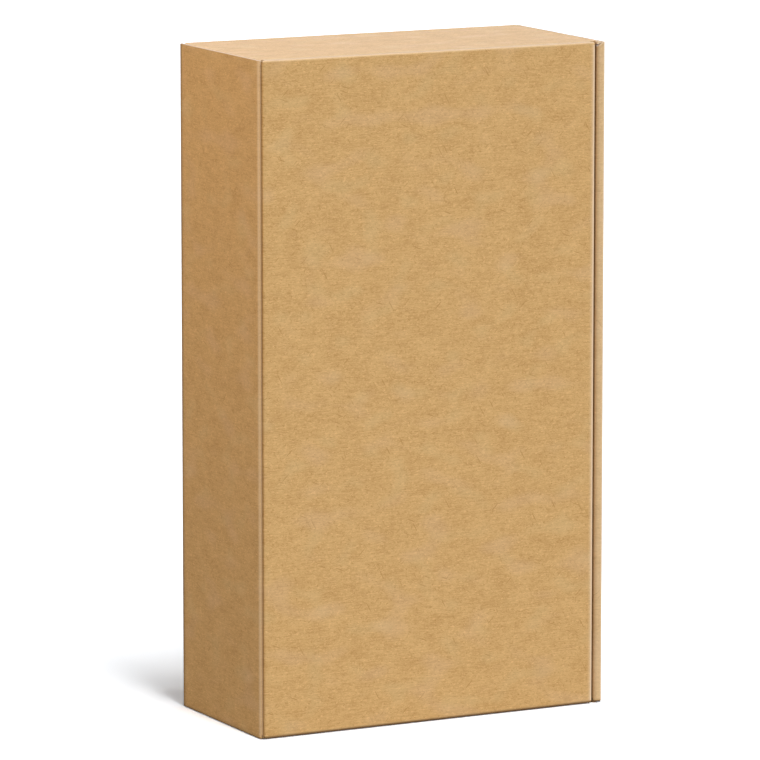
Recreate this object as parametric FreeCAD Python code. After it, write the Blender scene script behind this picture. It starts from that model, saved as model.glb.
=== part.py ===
"""Mailer box folded from one sheet of board, closed and standing on a short end."""

import FreeCAD, Part
import math
import os

Vector = FreeCAD.Vector

# Outer size of the closed box: the lid faces -Y and the hinge side is at -X
box_width = 200.0
box_depth = 94.0
box_height = 350.0

# Board and the inside radius of each kind of fold
board = 1.5
wall_fold_inside = 0.2
lid_fold_inside = 0.6
hinge_fold_inside = 1.7

# Clearances between layers, raw edges and the moving lid
ply_gap = 0.15
edge_inset = 0.3
seat_gap = 0.3
lid_gap = 0.3
slit_width = 0.9
swing_gap = 0.4

# Crease line of the hinge, where lid and tray part, and how far round the fold it lies
hinge_crease_width = 0.6
hinge_crease_turn = 50.0
hinge_axis_lift = 0.15

# Flap that tucks the lid into the tray
tuck_flap_depth = 32.0
tuck_flap_end_gap = 2.8
tuck_flap_taper = 7.0
tuck_flap_corner_radius = 9.0

# Flaps on the two end walls, folded in along the side walls
corner_flap_length = 62.0
corner_flap_front_gap = 6.0
corner_flap_taper = 5.0
corner_flap_corner_radius = 6.0

# Tabs of the rolled wall and their slots in the back panel
tab_length = 42.0
tab_distance_from_middle = 88.0
tab_taper = 1.2
slot_clearance = 0.15

# Mitred corner between the rolled wall and the top wall
mitre_run = 3.4
mitre_drop = 2.6
mitre_gap = 0.5
ear_setback = 0.2
ear_side_gap = 0.6
rolled_wall_foot_gap = 1.2

# Soft rounding of the lid's long cut edges, a little less than the board
lid_edge_radius = min(1.35, 0.95 * board)

# Planes and radii that follow from the sizes above
left_x = -box_width / 2
right_x = box_width / 2
front_y = -box_depth / 2
back_y = box_depth / 2
wall_fold = wall_fold_inside + board
lid_fold = lid_fold_inside + board
hinge_fold = hinge_fold_inside + board
rolled_wall_width = 3 * board + 2 * ply_gap
rolled_wall_inner_x = right_x - rolled_wall_width
lid_right_x = rolled_wall_inner_x - slit_width
end_wall_front_y = front_y + board + lid_gap
end_wall_half_span = box_width / 2 - board - ply_gap - wall_fold
hinge_centre = Vector(left_x + hinge_fold, front_y + hinge_fold, 0)
crease_direction = math.radians(180 + hinge_crease_turn)


class BoardRun:
    """A run of board drawn in a plane as straights and folds, then given its width."""

    def __init__(self, plane, start, heading):
        """Start at a point of the board's middle line, heading along it."""
        self.to_space = plane
        self.point = start
        self.heading = heading
        self.left = []
        self.right = []

    def side_point(self, point, heading, side):
        """The point of one face of the board beside a point of its middle line."""
        reach = side * board / 2
        return self.to_space(point[0] - reach * math.sin(heading), point[1] + reach * math.cos(heading))

    def straight(self, length):
        """Go on flat for a length."""
        end = (
            self.point[0] + length * math.cos(self.heading),
            self.point[1] + length * math.sin(self.heading),
        )
        for edges, side in ((self.left, 1), (self.right, -1)):
            first = self.side_point(self.point, self.heading, side)
            last = self.side_point(end, self.heading, side)
            edges.append(Part.LineSegment(first, last).toShape())
        self.point = end
        return self

    def fold(self, inside_radius, degrees):
        """Bend round an inside radius, to the left where the angle is positive."""
        turn = math.radians(degrees)
        hand = math.copysign(1, turn)
        radius = inside_radius + board / 2
        centre = (
            self.point[0] - hand * radius * math.sin(self.heading),
            self.point[1] + hand * radius * math.cos(self.heading),
        )
        stops = []
        for share in (0.0, 0.5, 1.0):
            heading = self.heading + share * turn
            stops.append((
                (
                    centre[0] + hand * radius * math.sin(heading),
                    centre[1] - hand * radius * math.cos(heading),
                ),
                heading,
            ))
        for edges, side in ((self.left, 1), (self.right, -1)):
            points = [self.side_point(point, heading, side) for point, heading in stops]
            edges.append(Part.Arc(*points).toShape())
        self.point, self.heading = stops[-1]
        return self

    def solid(self, sweep):
        """The board between its two faces, swept across its width."""
        start_cap = Part.LineSegment(
            self.left[0].firstVertex().Point, self.right[0].firstVertex().Point
        ).toShape()
        end_cap = Part.LineSegment(
            self.left[-1].lastVertex().Point, self.right[-1].lastVertex().Point
        ).toShape()
        wire = Part.Wire(self.left + [end_cap] + self.right[::-1] + [start_cap])
        return Part.Face(wire).extrude(sweep)


def level_plane(height):
    """Plane of constant Z, drawn in X and Y."""
    return lambda u, v: Vector(u, v, height)


def across_plane(y):
    """Plane of constant Y, drawn in X and Z."""
    return lambda u, v: Vector(u, y, v)


def side_plane(x):
    """Plane of constant X, drawn in Y and Z."""
    return lambda u, v: Vector(x, u, v)


def upright_run(start, heading, low, high):
    """A board run seen from above, and the sweep that gives it its height."""
    return BoardRun(level_plane(low), start, heading), Vector(0, 0, high - low)


def prism(points, sweep):
    """A closed outline of straight edges, swept into a solid."""
    return Part.Face(Part.makePolygon(points + [points[0]])).extrude(sweep)


def join(pieces):
    """One solid from pieces of board that share faces."""
    return pieces[0].fuse(pieces[1:]).removeSplitter()


def rounded_flap(points, sweep, radius, corners):
    """A flat flap with rounded free corners, given by their place in the plane."""
    flap = prism(points, sweep)
    direction = Vector(sweep).normalize()
    sharp = []
    for edge in flap.Edges:
        along = edge.tangentAt(edge.FirstParameter)
        if abs(abs(along.dot(direction)) - 1) > 1e-6:
            continue
        middle = edge.CenterOfMass - sweep * 0.5
        if any(middle.distanceToPoint(corner) < 1e-4 for corner in corners):
            sharp.append(edge)
    return flap.makeFillet(radius, sharp)


def half_crease_angle():
    """Angle round the hinge fold that half of the crease line takes up."""
    return (hinge_crease_width / 2) / (hinge_fold - board / 2)


def run_from_crease(side):
    """A run that starts beside the crease line: side 1 is the lid's, side -1 the tray's."""
    angle = crease_direction + side * half_crease_angle()
    middle_radius = hinge_fold - board / 2
    start = (
        hinge_centre.x + middle_radius * math.cos(angle),
        hinge_centre.y + middle_radius * math.sin(angle),
    )
    return upright_run(start, angle + side * math.pi / 2, edge_inset, box_height - edge_inset)


def hinge_side_wall():
    """The tray's share of the hinge fold, the hinge wall and its fold to the back panel."""
    run, sweep = run_from_crease(-1)
    run.fold(hinge_fold_inside, math.degrees(half_crease_angle()) - hinge_crease_turn)
    run.straight(box_depth - hinge_fold - wall_fold)
    run.fold(wall_fold_inside, -90)
    return run.solid(sweep)


def back_panel():
    """The panel at the back, between the folds of its four walls."""
    run, sweep = upright_run(
        (left_x + wall_fold, back_y - board / 2), 0.0, wall_fold, box_height - wall_fold
    )
    run.straight(box_width - 2 * wall_fold)
    panel = run.solid(sweep)
    for middle in tab_middles():
        slot = Part.makeBox(
            board + 2 * slot_clearance,
            3 * board,
            tab_length + 2 * slot_clearance,
            Vector(
                rolled_wall_inner_x - slot_clearance,
                back_y - 2 * board,
                middle - tab_length / 2 - slot_clearance,
            ),
        )
        panel = panel.cut(slot)
    return panel


def tab_middles():
    """Heights of the middles of the two locking tabs."""
    return [box_height / 2 + side * tab_distance_from_middle for side in (-1, 1)]


def rolled_wall():
    """Outer panel, spine and inner panel of the wall that closes against the lid."""
    outer, sweep = upright_run(
        (right_x - wall_fold, back_y - board / 2), 0.0, edge_inset, box_height - edge_inset
    )
    outer.fold(wall_fold_inside, -90)
    outer.straight(box_depth - 2 * wall_fold)
    spine, spine_sweep = upright_run(
        outer.point, outer.heading, rolled_wall_foot_gap, box_height - edge_inset
    )
    spine.fold(wall_fold_inside, -90)
    spine.straight(rolled_wall_width - 2 * wall_fold)
    spine.fold(wall_fold_inside, -90)
    inner, inner_sweep = upright_run(
        spine.point, spine.heading, board + seat_gap, box_height - board - seat_gap
    )
    inner.straight(box_depth - wall_fold - board - ply_gap)
    spine_solid = spine.solid(spine_sweep).cut(above_mitre(0.0))
    return [outer.solid(sweep), spine_solid, inner.solid(inner_sweep)] + locking_tabs()


def above_mitre(lift):
    """Everything over the slanted end of the spine, raised by a lift across the slant."""
    slant = math.hypot(mitre_run, mitre_drop - edge_inset)
    rise = (mitre_drop - edge_inset) / slant
    run = mitre_run / slant
    low = Vector(
        rolled_wall_inner_x - lift * rise, front_y - board, box_height - mitre_drop + lift * run
    )
    along = Vector(run, 0, rise)
    first = low - along * rolled_wall_width
    last = low + along * slant * 2
    roof = box_height + 2 * rolled_wall_width
    points = [first, last, Vector(last.x, last.y, roof), Vector(first.x, first.y, roof)]
    return prism(points, Vector(0, 3 * board, 0))


def locking_tabs():
    """Tabs of the inner panel that stand in the slots of the back panel."""
    tabs = []
    foot = back_y - board - ply_gap
    tip = back_y - ply_gap
    for middle in tab_middles():
        half = tab_length / 2
        points = [
            Vector(rolled_wall_inner_x, foot, middle - half),
            Vector(rolled_wall_inner_x, foot, middle + half),
            Vector(rolled_wall_inner_x, tip, middle + half - tab_taper),
            Vector(rolled_wall_inner_x, tip, middle - half + tab_taper),
        ]
        tabs.append(prism(points, Vector(board, 0, 0)))
    return tabs


def top_wall():
    """The top wall with its fold to the back panel and its two corner flaps."""
    wall_run = BoardRun(
        side_plane(-end_wall_half_span), (back_y - board / 2, box_height - wall_fold), math.pi / 2
    )
    wall_run.fold(wall_fold_inside, 90)
    wall_run.straight(back_y - wall_fold - end_wall_front_y)
    pieces = [wall_run.solid(Vector(2 * end_wall_half_span, 0, 0)).cut(lid_corner_notch())]
    for side in (-1, 1):
        pieces.append(corner_fold(side))
        pieces.append(corner_flap(side))
    return pieces


def lid_corner_notch():
    """Small notch in the front edge that leaves room for the lid's folded corner."""
    low_x = lid_right_x - lid_fold - lid_gap
    low = Vector(low_x, end_wall_front_y - board, box_height - 2 * board)
    reach = front_y + lid_fold + 2 * lid_gap - low.y
    return Part.makeBox(lid_right_x + ear_side_gap - low_x, reach, 3 * board, low)


def corner_front_y(side):
    """Front end of a corner fold: behind the hinge fold, or behind the spine."""
    if side < 0:
        return front_y + hinge_fold + edge_inset
    return end_wall_front_y + edge_inset


def corner_back_y():
    """Back end of the corner folds and flaps, clear of the back panel."""
    return back_y - board - seat_gap


def corner_fold(side):
    """Fold at an end of the top wall, from the wall down to its corner flap."""
    heading = 0.0 if side > 0 else math.pi
    run = BoardRun(
        across_plane(corner_front_y(side)),
        (side * end_wall_half_span, box_height - board / 2),
        heading,
    )
    run.fold(wall_fold_inside, -90 * side)
    return run.solid(Vector(0, corner_back_y() - corner_front_y(side), 0))


def corner_flap(side):
    """Flat flap that lies along a side wall, tapered and rounded at its free end."""
    inner_x = end_wall_half_span + wall_fold_inside
    x = inner_x if side > 0 else -inner_x - board
    root = box_height - wall_fold
    tip = box_height - corner_flap_length
    front = front_y + corner_flap_front_gap
    back = corner_back_y()
    points = [
        Vector(x, front, root),
        Vector(x, back, root),
        Vector(x, back - corner_flap_taper, tip),
        Vector(x, front + corner_flap_taper, tip),
    ]
    return rounded_flap(points, Vector(board, 0, 0), corner_flap_corner_radius, points[2:])


def mitred_ear():
    """Front corner of the top wall that fills the notch over the mitred spine."""
    start = front_y + ear_setback
    run = BoardRun(
        across_plane(start), (lid_right_x + ear_side_gap, box_height - board / 2), 0.0
    )
    run.straight(end_wall_half_span - lid_right_x - ear_side_gap)
    run.fold(wall_fold_inside, -90)
    return run.solid(Vector(0, corner_front_y(1) - start, 0)).common(above_mitre(mitre_gap))


def mirrored_below(pieces):
    """The same pieces at the foot of the box."""
    middle = Vector(0, 0, box_height / 2)
    return [piece.mirror(middle, Vector(0, 0, 1)) for piece in pieces]


def make_tray():
    """The standing part of the sheet: back panel, hinge wall, end walls and rolled wall."""
    end_wall = top_wall()
    pieces = [back_panel(), hinge_side_wall()] + rolled_wall()
    return join(pieces + end_wall + [mitred_ear()] + mirrored_below(end_wall))


def hinge_axis_point():
    """Where the lid turns: just outside the crease line of the hinge fold."""
    reach = hinge_fold + hinge_axis_lift
    outward = Vector(math.cos(crease_direction), math.sin(crease_direction), 0)
    return hinge_centre + outward * reach


def tuck_flap_lean():
    """Inward lean that lets the flap swing out past the rolled wall."""
    axis = hinge_axis_point()
    swing = rolled_wall_inner_x - axis.x - swing_gap
    tip_y = front_y + tuck_flap_depth
    tip_x = axis.x + math.sqrt(swing ** 2 - (tip_y - axis.y) ** 2)
    return math.atan2(lid_right_x - tip_x, tuck_flap_depth - lid_fold)


def lid_panel():
    """The lid's share of the hinge fold, its face and its fold to the tuck flap."""
    run, sweep = run_from_crease(1)
    run.fold(hinge_fold_inside, 90 - hinge_crease_turn - math.degrees(half_crease_angle()))
    run.straight(lid_right_x - lid_fold - run.point[0])
    run.fold(lid_fold_inside, 90 + math.degrees(tuck_flap_lean()))
    return soften_lid_edges(run.solid(sweep)), run


def soften_lid_edges(panel):
    """The lid's face with its long outer edges at top and foot rounded over."""
    outer = []
    for edge in panel.Edges:
        middle = edge.valueAt((edge.FirstParameter + edge.LastParameter) / 2)
        level = min(abs(middle.z - edge_inset), abs(middle.z - box_height + edge_inset))
        if level < 1e-6 and abs(middle.y - front_y) < 1e-6:
            outer.append(edge)
    return panel.makeFillet(lid_edge_radius, outer)


def tuck_flap(point, heading):
    """Flat tapered flap that goes in beside the rolled wall."""
    length = (tuck_flap_depth - lid_fold) / math.cos(tuck_flap_lean())
    along = Vector(math.cos(heading), math.sin(heading), 0)
    thickness = Vector(along.y, -along.x, 0) * board
    root = Vector(point[0], point[1], 0) - thickness * 0.5
    low = Vector(0, 0, tuck_flap_end_gap)
    high = Vector(0, 0, box_height - tuck_flap_end_gap)
    taper = Vector(0, 0, tuck_flap_taper)
    tip = root + along * length
    points = [root + low, root + high, tip + high - taper, tip + low + taper]
    return rounded_flap(points, thickness, tuck_flap_corner_radius, points[2:])


def make_lid():
    """The moving part of the sheet: lid panel and tuck flap."""
    panel, run = lid_panel()
    return join([panel, tuck_flap(run.point, run.heading)])


def write_step(name, shape):
    """One file for one piece of the box."""
    solid = shape.Solids[0]
    print(name, "solids", len(shape.Solids), "valid", solid.isValid(), "volume", round(solid.Volume, 1))
    solid.exportStep(os.path.join("parts", name + ".step"))


def main():
    """Build the two pieces of the folded sheet and write them."""
    os.makedirs("parts", exist_ok=True)
    write_step("tray", make_tray())
    write_step("lid", make_lid())
    axis = hinge_axis_point()
    print("hinge axis", round(axis.x, 3), round(axis.y, 3), "lean", math.degrees(tuck_flap_lean()))


main()
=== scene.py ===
"""Looks of a closed mailer box of kraft board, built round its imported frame."""

import logging
import math
from collections.abc import Callable
from dataclasses import dataclass, field, replace
from enum import Enum

import bpy
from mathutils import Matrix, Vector

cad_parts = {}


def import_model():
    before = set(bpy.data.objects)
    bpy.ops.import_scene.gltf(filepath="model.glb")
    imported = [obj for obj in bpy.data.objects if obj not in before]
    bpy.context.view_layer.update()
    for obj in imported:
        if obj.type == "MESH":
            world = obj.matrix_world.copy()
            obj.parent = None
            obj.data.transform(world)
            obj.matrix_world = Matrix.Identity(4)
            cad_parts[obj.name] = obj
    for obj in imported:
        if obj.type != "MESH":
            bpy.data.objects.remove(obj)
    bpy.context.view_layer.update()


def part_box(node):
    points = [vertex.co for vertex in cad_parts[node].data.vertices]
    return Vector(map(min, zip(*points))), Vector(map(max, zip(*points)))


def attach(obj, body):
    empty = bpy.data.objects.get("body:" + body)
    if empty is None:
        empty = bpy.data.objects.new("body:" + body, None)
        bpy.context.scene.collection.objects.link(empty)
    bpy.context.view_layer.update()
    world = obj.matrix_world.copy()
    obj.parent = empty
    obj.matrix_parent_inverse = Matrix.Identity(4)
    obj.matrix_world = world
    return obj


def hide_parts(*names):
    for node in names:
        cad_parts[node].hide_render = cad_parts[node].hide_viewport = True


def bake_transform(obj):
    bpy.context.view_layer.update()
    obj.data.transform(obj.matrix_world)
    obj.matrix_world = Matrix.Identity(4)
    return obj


LOG = logging.getLogger("mailer_box")
MM = 0.001
FLAT_SHEET = "flat_sheet"
# Attribute of the tone on folds and edges: above 0 drawn paper and painted highlight, below 0 painted
# shade.
EDGE_TONE = "edge_tone"
# Cosine above which two edges of the sheet count as one straight line.
ONE_LINE = 0.999
# Middle of a noise, and of the way between a finish's two colours.
HALF_WAY = 0.5
COLOURS = {"data_type": "RGBA"}
NUMBERS = {"data_type": "FLOAT"}
HELD_SUM = {"operation": "ADD", "use_clamp": True}
HELD_PRODUCT = {"operation": "MULTIPLY", "use_clamp": True}

Finishes = tuple[bpy.types.Material, bpy.types.Material]
ToneRule = Callable[[Vector, float], float | None]
Tree = bpy.types.NodeTree
Socket = bpy.types.NodeSocket


class End(Enum):
    """The two short ends of the standing box."""

    TOP = 1
    FOOT = -1


class Side(Enum):
    """The hinge side, at -X, and the closing side, at +X."""

    HINGE = -1
    CLOSING = 1


@dataclass(frozen=True)
class BoxSizes:
    """Sizes of the folded box in metres; the outer three come from the frame."""

    width: float
    depth: float
    height: float
    board: float = 1.5 * MM
    wall_fold_inside: float = 0.2 * MM
    lid_fold_inside: float = 0.6 * MM
    hinge_fold_inside: float = 1.7 * MM
    ply_gap: float = 0.15 * MM
    edge_inset: float = 0.3 * MM
    lid_gap: float = 0.3 * MM
    slit_width: float = 0.9 * MM
    crease_spread: float = 1.2 * MM

    @classmethod
    def from_frame(cls) -> "BoxSizes":
        """Read the outer size from the tray, to a hundredth of a millimetre."""
        low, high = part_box("tray")
        return cls(*(round(top - foot, 5) for foot, top in zip(low, high)))

    @property
    def wall_fold(self) -> float:
        """Outer radius of a wall's fold."""
        return self.wall_fold_inside + self.board

    @property
    def lid_fold(self) -> float:
        """Outer radius of the lid's fold to its tuck flap."""
        return self.lid_fold_inside + self.board

    @property
    def hinge_fold(self) -> float:
        """Outer radius of the fold that holds the hinge."""
        return self.hinge_fold_inside + self.board

    @property
    def front(self) -> float:
        """Y of the lid's face."""
        return -self.depth / 2

    @property
    def back(self) -> float:
        """Y of the back panel's outer face."""
        return self.depth / 2

    @property
    def right(self) -> float:
        """X of the closing side's outer face."""
        return self.width / 2

    @property
    def rolled_width(self) -> float:
        """Thickness of the rolled wall: two boards and the room of a corner flap."""
        return 3 * self.board + 2 * self.ply_gap

    @property
    def rolled_inner(self) -> float:
        """X of the rolled wall's inner face."""
        return self.right - self.rolled_width

    @property
    def lid_right(self) -> float:
        """X where the lid's face ends, beside the slit."""
        return self.rolled_inner - self.slit_width

    @property
    def wall_front(self) -> float:
        """Y of the front edges of the two end walls."""
        return self.front + self.board + self.lid_gap

    @property
    def wall_span(self) -> float:
        """X where the end walls pass into their corner folds."""
        return self.right - self.board - self.ply_gap - self.wall_fold

    @property
    def wall_back(self) -> float:
        """Y where the end walls' flat part meets the fold to the back panel."""
        return self.back - self.wall_fold

    def from_end(self, end: End, distance: float) -> float:
        """Height at a distance from the top or the foot."""
        return self.height - distance if end is End.TOP else distance


@dataclass(frozen=True)
class HingeLine:
    """The crease that lid and tray share, round the fold at the hinge side."""

    sizes: BoxSizes
    width: float = 0.8 * MM
    turn_deg: float = 50.0
    groove_depth: float = 0.7 * MM
    # Painted shade in the crease's groove.
    groove_painted_shade: float = -0.45
    inner_recess: float = 0.03 * MM
    seat: float = 0.05 * MM
    end_recess: float = 0.4 * MM
    steps: int = 14
    bend_share: float = 0.6

    @property
    def centre(self) -> tuple[float, float]:
        """Centre of the hinge fold, seen from above."""
        reach = self.sizes.hinge_fold
        return reach - self.sizes.right, self.sizes.front + reach

    @property
    def direction(self) -> float:
        """Direction of the crease from the fold's centre, in radians."""
        return math.radians(180 + self.turn_deg)

    @property
    def half_angle(self) -> float:
        """Angle round the fold that half of the crease takes up."""
        return self.width / 2 / (self.sizes.hinge_fold - self.sizes.board / 2)

    def point(self, radius: float, angle: float) -> tuple[float, float]:
        """Point round the fold's centre, seen from above."""
        x, y = self.centre
        return x + radius * math.cos(angle), y + radius * math.sin(angle)


@dataclass(frozen=True)
class Spot:
    """One place of the board: its two faces, its place on the flat sheet and its tone.

    The tone runs from -1, painted shade, to 1, paler paper: partly drawn, partly painted highlight.
    """

    outer: Vector
    inner: Vector
    normal: Vector
    paper: Vector
    tone: float

    @property
    def middle(self) -> Vector:
        """Point half way through the board."""
        return (self.outer + self.inner) / 2


@dataclass(frozen=True)
class Station:
    """A place along a run of board: middle line, heading and way along the flat sheet."""

    x: float
    y: float
    heading: float
    way: float
    tone: float = 0.0

    def beside(self, reach: float) -> tuple[float, float]:
        """Point beside the middle line, on the left where reach is positive."""
        return self.x - reach * math.sin(self.heading), self.y + reach * math.cos(self.heading)


class BoardRun:
    """A run of board drawn in a plane as straights and folds."""

    def __init__(self, start: Station, board: float) -> None:
        """Start a run.

        Args:
            start: the first station.
            board: thickness of the board.
        """
        self.board = board
        self.stations = [start]

    @property
    def last(self) -> Station:
        """The station where the run ends."""
        return self.stations[-1]

    def straight(self, length: float, stops: tuple[float, ...] = ()) -> "BoardRun":
        """Go on flat for a length, with stations at the stops too.

        Args:
            length: length of the straight.
            stops: distances from its start.

        Returns:
            The run itself.
        """
        first = self.last
        for stop in sorted({*stops, length}):
            x = first.x + stop * math.cos(first.heading)
            y = first.y + stop * math.sin(first.heading)
            self.stations.append(Station(x, y, first.heading, first.way + stop))
        return self

    def fold(
        self,
        inside_radius: float,
        degrees: float,
        drawn: float = 0.5,
        steps: int = 8,
        end_share: float = 0.3,
    ) -> "BoardRun":
        """Bend round an inside radius, to the left where the angle is positive.

        Args:
            inside_radius: radius of the inner face.
            degrees: angle of the bend.
            drawn: tone mid-bend; above 0 drawn paper and painted highlight, below 0 painted shade.
            steps: number of stations in the bend.
            end_share: share of that tone at the bend's ends.

        Returns:
            The run itself.
        """
        hand = math.copysign(1, degrees)
        radius = inside_radius + self.board / 2
        first = replace(self.last, tone=drawn * end_share)
        self.stations[-1] = first
        centre_x = first.x - hand * radius * math.sin(first.heading)
        centre_y = first.y + hand * radius * math.cos(first.heading)
        for step in range(1, steps + 1):
            turned = math.radians(degrees) * step / steps
            heading = first.heading + turned
            x = centre_x + hand * radius * math.sin(heading)
            y = centre_y - hand * radius * math.cos(heading)
            way = first.way + radius * abs(turned)
            middle = math.sin(math.pi * step / steps)
            tone = drawn * (end_share + (1 - end_share) * middle)
            self.stations.append(Station(x, y, heading, way, tone))
        return self


@dataclass(frozen=True)
class Placing:
    """How a run that is drawn in a plane stands in the box and lies on the flat sheet.

    The foot's painted shade darkens the paper near the ground, up to the foot reach.
    """

    to_space: Callable[[float, float, float], Vector]
    to_paper: Callable[[float, float], tuple[float, float]]
    outer_side: int
    board: float
    foot_painted_shade: float = 0.0
    foot_reach: float = 2.0 * MM

    def spot(self, station: Station, level: float) -> Spot:
        """The spot of a station at one level across the run.

        Args:
            station: place along the run.
            level: place across it, which is the height where the run stands upright.

        Returns:
            The spot.
        """
        reach = self.outer_side * self.board / 2
        outer = self.to_space(*station.beside(reach), level)
        inner = self.to_space(*station.beside(-reach), level)
        paper = Vector(self.to_paper(station.way, level))
        # Painted shade near the ground, where the box meets the floor.
        tone = station.tone + self.foot_painted_shade * max(0.0, 1 - level / self.foot_reach)
        return Spot(outer, inner, (outer - inner).normalized(), paper, max(-1.0, tone))

    def rows(self, stations: list[Station], levels: list[float]) -> list[list[Spot]]:
        """Rows of spots, one for each station."""
        return [[self.spot(station, level) for level in levels] for station in stations]


@dataclass
class Rim:
    """Profile of the raw edge at one boundary spot, from the outer face to the inner."""

    points: list[Vector] = field(default_factory=list)
    papers: list[Vector] = field(default_factory=list)


def corner_offset(first: Vector, reach: float, second: Vector, other_reach: float) -> Vector:
    """Offset whose parts along two outward directions are the two reaches.

    Args:
        first: outward direction of one edge.
        reach: distance from that edge.
        second: outward direction of the next edge.
        other_reach: distance from the next edge.

    Returns:
        The offset vector.
    """
    shared = first.dot(second)
    if abs(shared) > ONE_LINE:
        return (first * reach + second * other_reach) / 2
    scale = 1 - shared * shared
    along_first = (reach - shared * other_reach) / scale
    along_second = (other_reach - shared * reach) / scale
    return first * along_first + second * along_second


def side_of(run: Vector, away_from: Vector) -> Vector:
    """Unit direction square to a run on the flat sheet, away from a point beside it."""
    square = Vector((run.y, -run.x)).normalized()
    return -square if square.dot(away_from) > 0 else square


class FoldedSheet:
    """Board gathered as patches of spots, then given two faces and a softened raw edge.

    Raw edges that turn by less than the smooth limit blend into each other, a face keeps the
    board's own normals within the exact limit, and spots closer than the grain are one. The
    shares say how much of the board's thickness the softened corners may take up.
    """

    smooth_limit = math.cos(math.radians(40))
    exact_limit = math.cos(math.radians(15))
    grain = 1e-6
    inner_round_share = 0.4
    rounded_share = 0.95
    inner_kept_share = 0.6
    inner_drop_share = 0.9

    def __init__(self, edge_round: float, segments: int) -> None:
        """Start an empty sheet.

        Args:
            edge_round: softening of the raw edges.
            segments: number of flats in each softened corner.
        """
        self.edge_round = edge_round
        self.segments = segments
        self.spots: list[Spot] = []
        self.places: dict[tuple[int, ...], int] = {}
        self.quads: list[tuple[int, ...]] = []

    def add_spot(self, spot: Spot) -> int:
        """Add a spot, or find the one that is there already.

        Args:
            spot: the spot; where one is there already, the stronger tone is kept.

        Returns:
            Its number.
        """
        key = tuple(round(part / self.grain) for part in spot.middle)
        if key not in self.places:
            self.places[key] = len(self.spots)
            self.spots.append(spot)
            return self.places[key]
        index = self.places[key]
        known = self.spots[index]
        if abs(spot.tone) > abs(known.tone):
            self.spots[index] = replace(known, tone=spot.tone)
        return index

    def add_patch(
        self, rows: list[list[Spot]], left_out: Callable[[Vector], bool] | None = None
    ) -> None:
        """Add a patch of board.

        Args:
            rows: rows of spots with the same number of spots each.
            left_out: says for a cell's middle whether the cell is an opening.
        """
        for row, following in zip(rows, rows[1:]):
            for column in range(len(row) - 1):
                corners = [row[column], row[column + 1], following[column + 1], following[column]]
                middle = sum((spot.middle for spot in corners), Vector()) / 4
                if left_out is not None and left_out(middle):
                    continue
                across = (corners[2].middle - corners[0].middle).cross(
                    corners[3].middle - corners[1].middle
                )
                if across.dot(corners[0].normal) < 0:
                    corners.reverse()
                self.quads.append(tuple(self.add_spot(spot) for spot in corners))

    def boundary(self) -> dict[int, tuple[int, int]]:
        """Follow the free edges of the sheet.

        Returns:
            For each spot on a free edge, the next one and the cell that they belong to.
        """
        cells = {}
        for cell, quad in enumerate(self.quads):
            for start, end in zip(quad, quad[1:] + quad[:1]):
                cells[start, end] = cell
        return {
            start: (end, cell)
            for (start, end), cell in cells.items()
            if (end, start) not in cells
        }

    def rim_profile(
        self,
        spot: Spot,
        outward: tuple[Vector, Vector],
        paper_outward: tuple[Vector, Vector],
        rounds: tuple[float, float],
    ) -> Rim:
        """Profile of the raw edge at a spot.

        Args:
            spot: the spot on the free edge.
            outward: outward directions of the edges before and after it.
            paper_outward: the same on the flat sheet.
            rounds: rounding of the outer corner along the two edges.

        Returns:
            The profile, from the outer face to the inner one.
        """
        through = (spot.outer - spot.inner).normalized()
        thickness = (spot.outer - spot.inner).length
        inner_round = min(self.edge_round, thickness * self.inner_round_share)
        inner_kept = inner_round * self.inner_kept_share
        outer_drop = min(max(rounds), thickness * self.rounded_share - inner_kept)
        inner_drop = min(inner_round, (thickness - outer_drop) * self.inner_drop_share)
        shift = corner_offset(outward[0], rounds[0], outward[1], rounds[1])
        paper_shift = corner_offset(paper_outward[0], rounds[0], paper_outward[1], rounds[1])
        inner_shift = corner_offset(outward[0], inner_round, outward[1], inner_round)
        paper_inner = corner_offset(paper_outward[0], inner_round, paper_outward[1], inner_round)
        rim = Rim()
        for step in range(self.segments + 1):
            angle = math.pi / 2 * step / self.segments
            back, drop = 1 - math.sin(angle), 1 - math.cos(angle)
            rim.points.append(spot.outer - shift * back - through * outer_drop * drop)
            rim.papers.append(spot.paper - paper_shift * back)
        for step in range(self.segments, -1, -1):
            angle = math.pi / 2 * step / self.segments
            back, drop = 1 - math.sin(angle), 1 - math.cos(angle)
            rim.points.append(spot.inner - inner_shift * back + through * inner_drop * drop)
            rim.papers.append(spot.paper + paper_outward[0] * thickness - paper_inner * back)
        return rim

    def to_object(
        self,
        name: str,
        materials: Finishes,
        rounding: Callable[[Vector], float] | None = None,
        edge_tone: ToneRule | None = None,
    ) -> bpy.types.Object:
        """Turn the sheet into a mesh object.

        Args:
            name: name of the object.
            materials: finish of the faces and finish of the raw edges.
            rounding: rounding of the outer corner at the middle of a free edge.
            edge_tone: tone at a spot of a free edge and a share of the way round its corner.

        Returns:
            The object, in the scene's collection.
        """
        following = self.boundary()
        preceding = {end: start for start, (end, _) in following.items()}
        outward, paper_outward, rounds = {}, {}, {}
        for start, (end, cell) in following.items():
            run = self.spots[end].middle - self.spots[start].middle
            normal = self.spots[start].normal + self.spots[end].normal
            outward[start] = run.cross(normal).normalized()
            inside = sum((self.spots[i].paper for i in self.quads[cell]), Vector((0, 0))) / 4
            paper_run = self.spots[end].paper - self.spots[start].paper
            paper_outward[start] = side_of(paper_run, inside - self.spots[start].paper)
            middle = (self.spots[start].middle + self.spots[end].middle) / 2
            rounds[start] = self.edge_round if rounding is None else rounding(middle)
        rims = {}
        for spot, before in preceding.items():
            rims[spot] = self.rim_profile(
                self.spots[spot],
                (outward[before], outward[spot]),
                (paper_outward[before], paper_outward[spot]),
                (rounds[before], rounds[spot]),
            )
        builder = SheetMesh(self, rims, edge_tone)
        for quad in self.quads:
            builder.add_faces(quad)
        for start, (end, _) in following.items():
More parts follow.
